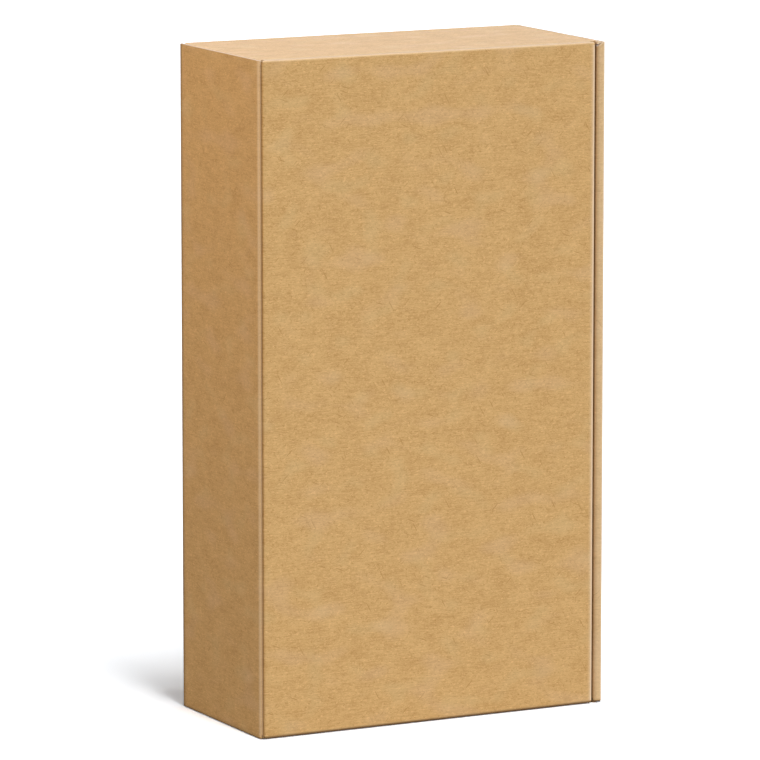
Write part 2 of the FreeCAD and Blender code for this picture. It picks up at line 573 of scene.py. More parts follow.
            # Paper is drawn over a corner that is rounded much more than the others.
            worn = rounds[start] > 2 * self.edge_round
            directions = []
            for spot in (start, end):
                before = outward[preceding[spot]]
                after = outward[spot]
                smooth = before.dot(after) > self.smooth_limit
                directions.append((before + after).normalized() if smooth else outward[start])
            builder.add_rim(start, end, directions, worn)
        return builder.finish(name, materials)


class SheetMesh:
    """Vertices, faces and corner data of a folded sheet."""

    def __init__(
        self, sheet: FoldedSheet, rims: dict[int, Rim], edge_tone: ToneRule | None
    ) -> None:
        """Lay out the vertices.

        Args:
            sheet: the gathered sheet.
            rims: edge profiles of its boundary spots.
            edge_tone: tone at a spot of a free edge and a share of the way round its corner.
        """
        self.sheet = sheet
        self.points: list[Vector] = []
        self.tones: list[float] = []
        self.papers: list[Vector] = []
        self.columns: list[list[int]] = []
        self.faces: list[tuple[int, ...]] = []
        self.finishes: list[int] = []
        self.normals: list[Vector] = []
        for index, spot in enumerate(sheet.spots):
            if index in rims:
                rim = rims[index]
            else:
                rim = Rim([spot.outer, spot.inner], [spot.paper, spot.paper])
            first = len(self.points)
            self.columns.append(list(range(first, first + len(rim.points))))
            self.points += rim.points
            self.papers += rim.papers
            self.tones += self.rim_tones(spot, len(rim.points), edge_tone)

    def rim_tones(self, spot: Spot, count: int, edge_tone: ToneRule | None) -> list[float]:
        """Tones of a spot's vertices, from the outer face to the inner one.

        Args:
            spot: the spot.
            count: number of its vertices.
            edge_tone: tone of a free edge, or None.

        Returns:
            One tone for each vertex.
        """
        if count == 2 or edge_tone is None:
            return [spot.tone] * count
        tones = []
        for place in range(count):
            share = min(1.0, min(place, count - 1 - place) / self.sheet.segments)
            tone = edge_tone(spot.middle, share)
            tones.append(spot.tone if tone is None else tone)
        return tones

    def add_faces(self, quad: tuple[int, ...]) -> None:
        """Add the outer and inner face of one cell.

        Args:
            quad: the cell's four spots, in order round the outer face.
        """
        for end, sign in ((0, 1), (-1, -1)):
            corners = quad if sign > 0 else quad[::-1]
            face = tuple(self.columns[spot][end] for spot in corners)
            a, b, c, d = (self.points[vertex] for vertex in face)
            flat = (c - a).cross(d - b).normalized()
            self.faces.append(face)
            self.finishes.append(0)
            for spot in corners:
                exact = self.sheet.spots[spot].normal * sign
                self.normals.append(exact if exact.dot(flat) > self.sheet.exact_limit else flat)

    def add_rim(self, start: int, end: int, directions: list[Vector], worn: bool) -> None:
        """Add the raw edge between two spots.

        Args:
            start: first spot of the free edge.
            end: second spot of the free edge.
            directions: outward direction at each of the two.
            worn: whether the rounded corner shows paper that is drawn over the edge.
        """
        segments = self.sheet.segments
        for step in range(2 * segments + 1):
            face = (
                self.columns[end][step],
                self.columns[start][step],
                self.columns[start][step + 1],
                self.columns[end][step + 1],
            )
            self.faces.append(face)
            self.finishes.append(0 if worn and step < segments else 1)
            for which, level in ((1, step), (0, step), (0, step + 1), (1, step + 1)):
                spot = self.sheet.spots[(start, end)[which]]
                inner = level > segments
                turn = (2 * segments + 1 - level if inner else level) / segments
                angle = math.pi / 2 * turn
                sign = -1 if inner else 1
                normal = spot.normal * sign * math.cos(angle) + directions[which] * math.sin(angle)
                self.normals.append(normal.normalized())

    def finish(self, name: str, materials: Finishes) -> bpy.types.Object:
        """Make the object.

        Args:
            name: name of the object.
            materials: finish of the faces and finish of the raw edges.

        Returns:
            The object, in the scene's collection.
        """
        mesh = bpy.data.meshes.new(name)
        mesh.from_pydata([tuple(point) for point in self.points], [], self.faces)
        for material in materials:
            mesh.materials.append(material)
        mesh.polygons.foreach_set("material_index", self.finishes)
        tones = mesh.attributes.new(EDGE_TONE, "FLOAT", "POINT")
        tones.data.foreach_set("value", self.tones)
        flat = mesh.uv_layers.new(name=FLAT_SHEET)
        for loop in mesh.loops:
            flat.data[loop.index].uv = self.papers[loop.vertex_index]
        mesh.shade_smooth()
        mesh.normals_split_custom_set([tuple(normal) for normal in self.normals])
        mesh.update()
        made = bpy.data.objects.new(name, mesh)
        bpy.context.scene.collection.objects.link(made)
        return made


def linear(hex_colour: str) -> tuple[float, float, float, float]:
    """Linear colour of an sRGB hex value, by the curve of the sRGB standard.

    Args:
        hex_colour: the value, such as "#CBA16C".

    Returns:
        Red, green, blue and an alpha of 1.
    """
    channels = []
    for place in (1, 3, 5):
        value = int(hex_colour[place : place + 2], 16) / 255
        channels.append(value / 12.92 if value <= 0.04045 else ((value + 0.055) / 1.055) ** 2.4)
    return (*channels, 1.0)


def set_inputs(tree: Tree, node: bpy.types.Node, inputs: dict) -> None:
    """Set or link inputs of a node.

    Args:
        tree: the node tree.
        node: the node.
        inputs: for a socket's name or number, a value or an output to link.
    """
    for name, value in inputs.items():
        if isinstance(value, Socket):
            tree.links.new(value, node.inputs[name])
        else:
            node.inputs[name].default_value = value


def add_node(
    tree: Tree, kind: str, settings: dict | None = None, inputs: dict | None = None
) -> bpy.types.Node:
    """Add a node with its settings and links.

    Args:
        tree: the node tree.
        kind: type of the node.
        settings: values of the node's own properties.
        inputs: for a socket's name or number, a value or an output to link.

    Returns:
        The node.
    """
    node = tree.nodes.new(kind)
    for name, value in (settings or {}).items():
        setattr(node, name, value)
    set_inputs(tree, node, inputs or {})
    return node


@dataclass(frozen=True)
class PaperGrain:
    """One layer of unevenness in the paper, with its real size on the flat sheet."""

    along: float
    across: float
    strength: float
    turn_deg: float = 0.0
    detail: float = 2.0
    seed: float = 0.0
    noise_roughness: float = 0.55

    def build(self, tree: Tree) -> Socket:
        """Add the nodes of this layer.

        Args:
            tree: the node tree.

        Returns:
            A tone that swings about 0.
        """
        flat = add_node(tree, "ShaderNodeUVMap", {"uv_map": FLAT_SHEET}).outputs["UV"]
        turned = add_node(
            tree,
            "ShaderNodeVectorRotate",
            {"rotation_type": "Z_AXIS"},
            {"Vector": flat, "Angle": math.radians(self.turn_deg)},
        ).outputs[0]
        scaled = add_node(
            tree,
            "ShaderNodeVectorMath",
            {"operation": "MULTIPLY_ADD"},
            {0: turned, 1: (1 / self.along, 1 / self.across, 1.0), 2: (self.seed, -self.seed, 0.0)},
        ).outputs[0]
        noise = add_node(
            tree,
            "ShaderNodeTexNoise",
            {"noise_dimensions": "2D"},
            {
                "Vector": scaled,
                "Scale": 1.0,
                "Detail": self.detail,
                "Roughness": self.noise_roughness,
            },
        ).outputs["Fac"]
        centred = add_node(
            tree, "ShaderNodeMath", {"operation": "SUBTRACT"}, {0: noise, 1: HALF_WAY}
        ).outputs[0]
        return add_node(
            tree, "ShaderNodeMath", {"operation": "MULTIPLY"}, {0: centred, 1: self.strength}
        ).outputs[0]


@dataclass(frozen=True)
class PaperFlecks:
    """Single fibres, specks or clouds that stand out of the pulp, on one slant.

    The fade is how softly they pass into the pulp round them.
    """

    length: float
    width: float
    turn_deg: float
    strength: float
    threshold: float
    seed: float
    fade: float = 0.1

    def build(self, tree: Tree) -> Socket:
        """Add the nodes of these flecks.

        Args:
            tree: the node tree.

        Returns:
            A tone that is 0 away from them.
        """
        grain = PaperGrain(self.length, self.width, 1.0, self.turn_deg, 0.0, self.seed)
        return add_node(
            tree,
            "ShaderNodeMapRange",
            {"interpolation_type": "SMOOTHSTEP"},
            {
                "Value": grain.build(tree),
                "From Min": self.threshold,
                "From Max": self.threshold + self.fade,
                "To Min": 0.0,
                "To Max": self.strength,
            },
        ).outputs[0]


@dataclass(frozen=True)
class EdgeWearHighlightAndShade:
    """Paler drawn fibres with painted highlight on folds; painted shade in grooves and where the box
    stands.
    """

    # Drawn fibres, and painted highlight on folds and edges.
    drawn: str = "#EACFAC"
    # Painted shade in grooves, on the back folds and where the box stands.
    dark: str = "#7C5C38"

    def build(self, tree: Tree, colour: Socket) -> Socket:
        """Add the nodes that tone a colour by the sheet's edge tone, with painted highlight and
        shade.

        Args:
            tree: the node tree.
            colour: the untoned colour.

        Returns:
            The toned colour.
        """
        tone = add_node(tree, "ShaderNodeAttribute", {"attribute_name": EDGE_TONE}).outputs["Fac"]
        # Positive tone mixes towards the paler colour, negative tone towards the painted shade.
        for sign, towards in ((1.0, self.drawn), (-1.0, self.dark)):
            share = add_node(tree, "ShaderNodeMath", HELD_PRODUCT, {0: tone, 1: sign}).outputs[0]
            ends = {"Factor": share, "A": colour, "B": linear(towards)}
            colour = add_node(tree, "ShaderNodeMix", COLOURS, ends).outputs["Result"]
        return colour


@dataclass(frozen=True)
class BoardFinish:
    """What the finishes of the board share: pulp between two colours, matt, with a fine relief."""

    name: str
    dark: str
    light: str
    roughness: float
    specular: float
    bump: float
    relief: float
    sheen: float = 0.0
    sheen_roughness: float = 0.5
    # Painted highlight and shade on folds and edges, with drawn paper.
    tones: EdgeWearHighlightAndShade = EdgeWearHighlightAndShade()

    def light_share(self, tree: Tree) -> Socket:
        """Share of the light colour, which each finish has in its own way."""
        raise NotImplementedError

    def clouded(self, tree: Tree, colour: Socket) -> Socket:
        """The pulp's colour with the clouds over it, where a finish has any."""
        return colour

    def build(self) -> bpy.types.Material:
        """Make the material.

        Returns:
            The material, with its pulp, edge tones, gloss and relief.
        """
        material = bpy.data.materials.new(self.name)
        material.use_nodes = True
        tree = material.node_tree
        share = self.light_share(tree)
        ends = {"Factor": share, "A": linear(self.dark), "B": linear(self.light)}
        pulp = add_node(tree, "ShaderNodeMix", COLOURS, ends).outputs["Result"]
        heights = {"Strength": self.bump, "Distance": self.relief, "Height": share}
        bump = add_node(tree, "ShaderNodeBump", {}, heights)
        inputs = {
            "Base Color": self.tones.build(tree, self.clouded(tree, pulp)),
            "Normal": bump.outputs["Normal"],
            "Roughness": self.roughness,
            "Specular IOR Level": self.specular,
            "Sheen Weight": self.sheen,
            "Sheen Roughness": self.sheen_roughness,
        }
        set_inputs(tree, tree.nodes["Principled BSDF"], inputs)
        return material


@dataclass(frozen=True)
class KraftLiner(BoardFinish):
    """Kraft liner of corrugated board: brown pulp, pressed smooth but not coated.

    It gives the eye a matt, slightly cloudy tan with fine streaks along the sheet, pale
    clouds, dark stray fibres, drawn paper with painted highlight on the folds, painted shade
    in grooves and at the foot, and a bloom at a flat glance.
    The finest grain and the fibres are drawn coarser than real ones, so that they show.
    """

    name: str = "kraft_liner_pressed"
    dark: str = "#BC8D4E"
    light: str = "#E3B87A"
    roughness: float = 0.62
    specular: float = 0.3
    bump: float = 0.25
    relief: float = 0.05 * MM
    # Length along the sheet and across it, strength, slant, detail and seed.
    grains: tuple[PaperGrain, ...] = (
        PaperGrain(26 * MM, 15 * MM, 0.18, 0.0, 1.0, 29.5),
        PaperGrain(11 * MM, 7 * MM, 0.46, 0.0, 2.0, 3.1),
        PaperGrain(3.4 * MM, 2.2 * MM, 0.22, 20.0, 1.0, 201.7),
        PaperGrain(10 * MM, 0.9 * MM, 0.54, 0.0, 2.0, 17.3),
        PaperGrain(2.8 * MM, 0.6 * MM, 0.5, 0.0, 1.0, 41.7),
        PaperGrain(0.9 * MM, 0.5 * MM, 0.44, 0.0, 1.0, 58.9),
    )
    # Length, width, slant, strength, threshold, seed and fade, here and in the flecks.
    clouds: tuple[tuple[PaperFlecks, str], ...] = (
        (PaperFlecks(22 * MM, 12 * MM, 0.0, 0.14, 0.04, 151.9, 0.36), "#E2BFA0"),
        (PaperFlecks(16 * MM, 11 * MM, 0.0, 0.14, 0.06, 173.3, 0.36), "#DCC793"),
    )
    flecks: tuple[PaperFlecks, ...] = (
        PaperFlecks(2.6 * MM, 0.5 * MM, 24.0, 0.34, 0.22, 71.3),
        PaperFlecks(2.2 * MM, 0.5 * MM, -38.0, -0.34, 0.22, 83.9),
        PaperFlecks(2.4 * MM, 0.5 * MM, 75.0, -0.3, 0.24, 97.1),
        PaperFlecks(1.8 * MM, 0.6 * MM, -8.0, 0.34, 0.22, 113.7),
        PaperFlecks(11 * MM, 0.8 * MM, 46.0, -1.0, 0.385, 127.1, 0.04),
        PaperFlecks(10 * MM, 0.8 * MM, -22.0, -1.0, 0.385, 139.3, 0.04),
        PaperFlecks(11 * MM, 0.8 * MM, -62.0, -0.9, 0.385, 163.9, 0.04),
    )

    def light_share(self, tree: Tree) -> Socket:
        """Share of the light pulp at each place.

        Args:
            tree: the node tree.

        Returns:
            The sum of all the layers, held between 0 and 1.
        """
        tone, *layers = [layer.build(tree) for layer in (*self.grains, *self.flecks)]
        for layer in layers:
            tone = add_node(
                tree, "ShaderNodeMath", {"operation": "ADD"}, {0: tone, 1: layer}
            ).outputs[0]
        return add_node(tree, "ShaderNodeMath", HELD_SUM, {0: tone, 1: HALF_WAY}).outputs[0]

    def clouded(self, tree: Tree, colour: Socket) -> Socket:
        """Make the pulp paler in a few soft clouds.

        Args:
            tree: the node tree.
            colour: the colour without clouds.

        Returns:
            The clouded colour.
        """
        for cloud, pale in self.clouds:
            ends = {"Factor": cloud.build(tree), "A": colour, "B": linear(pale)}
            colour = add_node(tree, "ShaderNodeMix", COLOURS, ends).outputs["Result"]
        return colour


@dataclass(frozen=True)
class CutBoard(BoardFinish):
    """Die-cut edge of the board: torn pulp between the two liners.

    It gives the eye a slightly darker, rougher line wherever the sheet ends.
    """

    name: str = "kraft_board_die_cut"
    dark: str = "#B48A58"
    light: str = "#D6AE7C"
    roughness: float = 0.85
    specular: float = 0.2
    sheen: float = 0.6
    sheen_roughness: float = 0.4
    pulp: PaperGrain = PaperGrain(0.8 * MM, 0.5 * MM, 1.2, 0.0, 3.0, 131.0)
    bump: float = 0.5
    relief: float = 0.08 * MM

    def light_share(self, tree: Tree) -> Socket:
        """Share of the light pulp at each place, held between 0 and 1."""
        tone = self.pulp.build(tree)
        return add_node(tree, "ShaderNodeMath", HELD_SUM, {0: tone, 1: HALF_WAY}).outputs[0]


@dataclass
class Tray:
    """The standing part of the sheet: back, hinge wall, end walls and rolled wall."""

    sizes: BoxSizes
    hinge: HingeLine
    materials: Finishes
    edge_round: float = 0.15 * MM
    edge_steps: int = 2
    rolled_foot_gap: float = 1.2 * MM
    mitre_drop: float = 2.6 * MM
    mitre_run: float = 3.4 * MM
    mitre_gap: float = 0.5 * MM
    mitre_reach: float = 10.0 * MM
    ear_setback: float = 0.2 * MM
    ear_stations: int = 4
    ear_step: float = 0.05 * MM
    notch_depth: float = 0.9 * MM
    notch_clearance: float = 0.3 * MM
    slot_clearance: float = 0.15 * MM
    tab_length: float = 42.0 * MM
    tab_from_middle: float = 88.0 * MM
    tab_taper: float = 1.2 * MM
    flap_length: float = 62.0 * MM
    flap_front_gap: float = 6.0 * MM
    flap_taper: float = 5.0 * MM
    flap_round: float = 6.0 * MM
    flap_round_steps: int = 5
    hinge_corner_inset: float = 0.3 * MM
    # Tone on the hinge fold: drawn paper and painted highlight.
    hinge_wear_and_highlight: float = 0.5
    # Painted shade along the folds to the back panel.
    back_fold_painted_shade: float = -1.0
    back_fold_share: float = 0.8
    back_fold_spread: float = 2.6 * MM
    # Painted shade near the ground.
    foot_painted_shade: float = -0.6
    # Drawn paper and painted highlight on the spine's outer fold, and painted light over the rest.
    spine_wear_and_highlight: float = 0.8
    spine_painted_light: float = 0.3
    standing_height: float = 2.2 * MM
    # Painted shade round the edges where the box stands.
    standing_painted_shade: float = -0.85
    # Drawn paper and painted highlight along the top wall's front edge.
    top_edge_wear_and_highlight: float = 0.8

    def __post_init__(self) -> None:
        """Start the sheet that the panels are added to."""
        self.sheet = FoldedSheet(self.edge_round, self.edge_steps)
        sizes = self.sizes
        self.slot_low = sizes.rolled_inner - self.slot_clearance
        self.slot_high = sizes.rolled_inner + sizes.board + self.slot_clearance
        self.notch_low = sizes.lid_right - sizes.lid_fold - self.notch_clearance
        self.notch_back = sizes.wall_front + self.notch_depth
        self.back_way = 0.0

    def tab_ranges(self, clearance: float) -> list[tuple[float, float]]:
        """Foot and top of the two locking tabs, or of their slots.

        Args:
            clearance: room at each end, which is 0 for a tab.

        Returns:
            The two levels of each.
        """
        half = self.tab_length / 2 + clearance
        middles = [self.sizes.height / 2 + hand * self.tab_from_middle for hand in (-1, 1)]
        return [(middle - half, middle + half) for middle in middles]

    def heights(self, low: float, high: float) -> list[float]:
        """Levels of the wrap's rows between two heights.

        Args:
            low: the lower height.
            high: the upper height.

        Returns:
            The levels, from below.
        """
        sizes = self.sizes
        ends = [
            sizes.edge_inset,
            self.rolled_foot_gap,
            sizes.wall_fold,
            sizes.wall_fold + sizes.crease_spread,
            self.mitre_reach,
        ]
        levels = {sizes.from_end(end, level) for end in End for level in ends}
        for clearance in (0.0, self.slot_clearance):
            for foot, top in self.tab_ranges(clearance):
                levels |= {foot, top}
        slack = FoldedSheet.grain
        return sorted(level for level in levels if low - slack < level < high + slack)

    def columns(self, reach: float) -> list[float]:
        """Places of the end walls' and the back panel's columns.

        Args:
            reach: how far from the middle they go.

        Returns:
            The places, from the hinge side.
        """
        sizes = self.sizes
        spread = sizes.crease_spread
        places = {
            sizes.wall_fold - sizes.right,
            -sizes.wall_span,
            spread - sizes.wall_span,
            self.notch_low - spread,
            self.notch_low,
            self.slot_low,
            sizes.wall_span - spread / 2,
            sizes.wall_span,
            self.slot_high,
            sizes.right - sizes.wall_fold,
        }
        return sorted(place for place in places if abs(place) < reach + FoldedSheet.grain)

    def upright(self) -> Placing:
        """Placing of the wrap, which is drawn from above."""
        return Placing(
            lambda x, y, z: Vector((x, y, z)),
            lambda way, z: (way, z),
            1,
            self.sizes.board,
            self.foot_painted_shade,
        )

    def add_wrap(self) -> None:
        """Hinge wall, back panel and rolled wall, in one run from the crease."""
        sizes, spread = self.sizes, self.sizes.crease_spread
        placing = self.upright()
        full = self.heights(sizes.edge_inset, sizes.height - sizes.edge_inset)
        angle = self.hinge.direction - self.hinge.half_angle
        start = self.hinge.point(sizes.hinge_fold - sizes.board / 2, angle)
        run = BoardRun(Station(*start, angle - math.pi / 2, 0.0), sizes.board)
        turn = math.degrees(self.hinge.half_angle) - self.hinge.turn_deg
        run.fold(sizes.hinge_fold_inside, turn, self.hinge_wear_and_highlight)
        length = sizes.depth - sizes.hinge_fold - sizes.wall_fold
        run.straight(length, (spread, length - self.back_fold_spread))
        run.fold(sizes.wall_fold_inside, -90, self.back_fold_painted_shade, end_share=self.back_fold_share)
        self.sheet.add_patch(placing.rows(run.stations, full))
        self.back_way = run.last.way

        run = BoardRun(run.last, sizes.board)
        first = run.last.x
        columns = self.columns(sizes.right - sizes.wall_fold)[1:]
        run.straight(columns[-1] - first, tuple(column - first for column in columns))
        inner = self.heights(sizes.wall_fold, sizes.height - sizes.wall_fold)
        self.sheet.add_patch(placing.rows(run.stations, inner), self.in_slot)

        run = BoardRun(run.last, sizes.board)
        run.fold(sizes.wall_fold_inside, -90, self.back_fold_painted_shade, end_share=self.back_fold_share)
        length = sizes.depth - 2 * sizes.wall_fold
        run.straight(length, (spread, length - spread))
        self.sheet.add_patch(placing.rows(run.stations, full))
        self.add_spine(run.last, placing)

    def in_slot(self, middle: Vector) -> bool:
        """Whether a cell of the back panel lies in a slot for a tab.

        Args:
            middle: the cell's middle.

        Returns:
            True in a slot.
        """
        if not self.slot_low < middle.x < self.slot_high:
            return False
        return any(low < middle.z < high for low, high in self.tab_ranges(self.slot_clearance))

    def mitre_level(self, x: float) -> float:
        """Height of the spine's slanted end.

        Args:
            x: place across the spine.

        Returns:
            The height there.
        """
        sizes = self.sizes
        rise = (x - sizes.rolled_inner) * (self.mitre_drop - sizes.edge_inset) / self.mitre_run
        return min(sizes.height - sizes.edge_inset, sizes.height - self.mitre_drop + rise)

    def lowered(self, spot: Spot, flat_top: float | None) -> Spot:
        """A spot of the rolled wall with its top rows drawn down to where the wall ends.

        Args:
            spot: the spot as it lies in the full height.
            flat_top: the level end, or None for the slanted one.

        Returns:
            The spot in its place.
        """
        sizes = self.sizes
        base = sizes.height - self.mitre_reach
        full = sizes.height - sizes.edge_inset
        if spot.outer.z <= base:
            return spot
        moved = []
        for point in (spot.outer, spot.inner):
            top = self.mitre_level(point.x) if flat_top is None else flat_top
            share = (point.z - base) / (full - base)
            moved.append(Vector((point.x, point.y, base + share * (top - base))))
        paper = Vector((spot.paper.x, sum(point.z for point in moved) / 2))
        return Spot(*moved, spot.normal, paper, spot.tone)

    def add_spine(self, start: Station, placing: Placing) -> None:
        """Spine, inner panel and tabs of the rolled wall.

        Args:
            start: the station where the wall's outer panel ends.
            placing: placing of the wrap.
        """
        sizes, spread = self.sizes, self.sizes.crease_spread
        full = sizes.height - sizes.edge_inset
        run = BoardRun(start, sizes.board)
        run.fold(sizes.wall_fold_inside, -90, self.spine_wear_and_highlight)
        run.straight(sizes.rolled_width - 2 * sizes.wall_fold)
        run.fold(sizes.wall_fold_inside, -90, self.spine_painted_light)
        # From its middle on, the spine has one even tone of painted light.
        middle = slice(len(run.stations) // 2 - 1, len(run.stations))
        run.stations[middle] = [
            replace(station, tone=self.spine_painted_light) for station in run.stations[middle]
        ]
        rows = placing.rows(run.stations, self.heights(self.rolled_foot_gap, full))
        self.sheet.add_patch([[self.lowered(spot, None) for spot in row] for row in rows])

        run = BoardRun(run.last, sizes.board)
        length = sizes.depth - sizes.wall_fold - sizes.board - sizes.ply_gap
        run.straight(length, (spread,))
        rows = placing.rows(run.stations, self.heights(sizes.wall_fold, full))
        top = sizes.height - sizes.wall_fold
        ends = [None] + [top] * (len(rows) - 1)
        self.sheet.add_patch(
            [[self.lowered(spot, end) for spot in row] for row, end in zip(rows, ends)]
        )
        tab = BoardRun(run.last, sizes.board).straight(sizes.board)
        for low, high in self.tab_ranges(0.0):
            root = placing.rows(tab.stations[:1], [low, high])
            tip = placing.rows(tab.stations[1:], [low + self.tab_taper, high - self.tab_taper])
            self.sheet.add_patch(root + tip)

    def wall_run(self) -> BoardRun:
        """Draw an end wall from the side.

        Returns:
            The run, from the back panel to the front.
        """
        sizes = self.sizes
        start = Station(
            sizes.back - sizes.board / 2, sizes.height - sizes.wall_fold, math.pi / 2, 0.0
        )
        run = BoardRun(start, sizes.board)
        run.fold(sizes.wall_fold_inside, 90)
        rows = self.wall_rows()
        run.straight(rows[0] - rows[-1], tuple(rows[0] - row for row in rows[1:]))
        return run

    def wall_rows(self) -> list[float]:
        """Rows of an end wall's flat part, from the back to the front."""
        sizes = self.sizes
        return [
            sizes.wall_back,
            sizes.wall_back - sizes.crease_spread,
            sizes.front + self.flap_front_gap,
            self.corner_front(Side.HINGE),
            self.notch_back,
            sizes.wall_front,
        ]

    def corner_front(self, side: Side) -> float:
        """Front end of a corner fold.

        Args:
            side: hinge side or closing side.

        Returns:
            Its Y, behind the hinge fold or behind the spine.
        """
        if side is Side.CLOSING:
            return self.sizes.wall_front
        return self.sizes.front + self.sizes.hinge_fold + self.hinge_corner_inset

    def paper_column(self, x: float) -> float:
        """Place of a column of the back panel along the flat sheet."""
        return self.back_way + x + self.sizes.right - self.sizes.wall_fold

    def paper_row(self, end: End, way: float) -> float:
        """Place on the flat sheet of a way out from the back panel's end."""
        return self.sizes.from_end(end, self.sizes.wall_fold - way)

    def in_notch(self, middle: Vector) -> bool:
        """Whether a cell of an end wall lies in the notch for the lid's corner."""
        return self.notch_low < middle.x < self.slot_low and middle.y < self.notch_back

    def add_end_wall(self, end: End) -> None:
        """An end wall with its two corner folds and flaps.

        Args:
            end: top or foot of the box.
        """
        sizes = self.sizes
        placing = Placing(
            lambda y, z, x: Vector((x, y, sizes.from_end(end, sizes.height - z))),
            lambda way, x: (self.paper_column(x), self.paper_row(end, way)),
            -1,
            sizes.board,
        )
        run = self.wall_run()
        self.sheet.add_patch(placing.rows(run.stations, self.columns(sizes.wall_span)), self.in_notch)
        for side in Side:
            self.add_corner(end, side, run.last.way)

    def corner_placing(self, end: End, side: Side, wall_length: float) -> Placing:
        """Placing of a corner fold and its flap, which are drawn from the front.

        Args:
            end: top or foot of the box.
            side: hinge side or closing side.
            wall_length: way along the sheet from the back panel to the wall's front edge.

        Returns:
            The placing.
        """
        sizes = self.sizes
        hand = side.value
        root = self.paper_column(hand * sizes.wall_span)
        front_way = wall_length + sizes.wall_front
        return Placing(
            lambda x, z, y: Vector((hand * x, y, sizes.from_end(end, sizes.height - z))),
            lambda way, y: (root + hand * way, self.paper_row(end, front_way - y)),
            1,
            sizes.board,
        )

    def corner_run(self) -> BoardRun:
        """Draw a corner fold from the front.

        Returns:
            The run, from the end wall to the flap.
        """
        sizes = self.sizes
        start = Station(sizes.wall_span, sizes.height - sizes.board / 2, 0.0, 0.0)
        return BoardRun(start, sizes.board).fold(sizes.wall_fold_inside, -90)

    def add_corner(self, end: End, side: Side, wall_length: float) -> None:
        """A corner fold with the tapered flap that lies along a side wall.

        Args:
            end: top or foot of the box.
            side: hinge side or closing side.
            wall_length: way along the sheet from the back panel to the wall's front edge.
        """
        placing = self.corner_placing(end, side, wall_length)
        front = self.corner_front(side)
        slack = FoldedSheet.grain
        rows = [row for row in self.wall_rows() if row > front - slack]
        run = self.corner_run()
        self.sheet.add_patch(placing.rows(run.stations, rows))
        flap = self.flap_run(run.last)
        root = flap.stations[0]
        levels = [row for row in rows if row > self.sizes.front + self.flap_front_gap - slack]
        patch = []
        for station in flap.stations:
            inset = self.flap_inset(station.way - root.way)
            low, high = levels[-1] + inset, levels[0] - inset
            scale = (high - low) / (levels[0] - levels[-1])
            drawn = [low + (level - levels[-1]) * scale for level in levels]
            patch += placing.rows([station], drawn)
        self.sheet.add_patch(patch)

    def flap_run(self, start: Station) -> BoardRun:
        """Draw a flat corner flap.

        Args:
            start: the station where the corner fold ends.

        Returns:
            The run, with stations round the flap's free corners.
        """
        length = self.flap_length - self.sizes.wall_fold
        stops = [self.sizes.crease_spread] + round_stops(
            length, self.flap_round, self.flap_round_steps
        )
        return BoardRun(start, self.sizes.board).straight(length, tuple(stops))

    def flap_inset(self, distance: float) -> float:
        """How far each side of a corner flap lies in, at a distance from its root."""
        length = self.flap_length - self.sizes.wall_fold
        return flap_inset(distance, length, self.flap_taper, self.flap_round)

    def add_ear(self) -> None:
        """Front corner of the top wall, which fills the notch over the slanted spine."""
        sizes = self.sizes
        run = self.corner_run()
        wall_length = self.wall_run().last.way
        placing = self.corner_placing(End.TOP, Side.CLOSING, wall_length)
        columns = [x for x in self.columns(sizes.wall_span) if x > self.slot_low - FoldedSheet.grain]
        flat = [
            Station(x, sizes.height - sizes.board / 2, 0.0, x - sizes.wall_span)
            for x in columns[:-1]
        ]
        stations = flat + run.stations[: self.ear_stations]
        front = sizes.front + self.ear_setback
        root = placing.rows(stations, [sizes.wall_front])
        outer = placing.rows(stations, [sizes.wall_front - self.ear_step, front])
        self.sheet.add_patch(
            [whole + [self.clipped(spot) for spot in row] for whole, row in zip(root, outer)]
        )

    def clipped(self, spot: Spot) -> Spot:
        """A spot of the ear with its inner face cut off over the slanted spine.

        Args:
            spot: the spot of the whole board.

        Returns:
            The spot, thinner where the spine is in its way.
        """
        slant = Vector((self.mitre_run, 0, self.mitre_drop - self.sizes.edge_inset)).normalized()
        over = Vector((-slant.z, 0, slant.x))
        low = Vector((self.sizes.rolled_inner, 0, self.sizes.height - self.mitre_drop))
        low += over * self.mitre_gap
        outer_lift = (spot.outer - low).dot(over)
        inner_lift = (spot.inner - low).dot(over)
        if inner_lift >= 0:
            return spot
        share = outer_lift / (outer_lift - inner_lift)
        return replace(spot, inner=spot.outer.lerp(spot.inner, share))

    def edge_tone(self, middle: Vector, share: float) -> float | None:
        """Tone of a free edge: painted shade at the foot, drawn paper and painted highlight at the
        top front.

        Args:
            middle: point half way through the board.
            share: share of the way round the edge's corner.

        Returns:
            The tone, or None to keep the spot's own.
        """
        if middle.z < self.standing_height:
            # All the way round the corner the painted shade comes to -1.
            return self.standing_painted_shade - (1 + self.standing_painted_shade) * share
        at_front = middle.y < self.sizes.wall_front + FoldedSheet.grain
        if at_front and middle.z > self.sizes.height - self.standing_height:
            return self.top_edge_wear_and_highlight
        return None

    def build(self) -> bpy.types.Object:
        """Make the tray.

        Returns:
            Its object, which stands for the tray's node.
        """
        self.add_wrap()
        for end in End:
            self.add_end_wall(end)
        self.add_ear()
        made = self.sheet.to_object("folded_tray", self.materials, edge_tone=self.edge_tone)
        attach(made, "tray")
        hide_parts("tray")
        return made


def round_stops(length: float, radius: float, steps: int) -> list[float]:
    """Distances along a flap of the stations round its free corners.

    Args:
        length: length of the flap.
        radius: radius of the free corners.
        steps: number of stations in each.

    Returns:
        The distances from the flap's root.
    """
    stops = [length - radius]
    for step in range(1, steps + 1):
        stops.append(length - radius + radius * math.sin(math.pi / 2 * step / steps))
    return stops


def flap_inset(distance: float, length: float, taper: float, radius: float) -> float:
    """How far a flap's side lies in at a distance from its root.

    Args:
        distance: distance from the root.
        length: length of the flap.
        taper: how far the side leans in over the length.
        radius: radius of the free corner.

    Returns:
        The inset from the side at the root.
    """
    inset = taper * distance / length
    into_corner = distance - (length - radius)
    if into_corner > 0:
        inset += radius - math.sqrt(max(0.0, radius**2 - into_corner**2))
    return inset


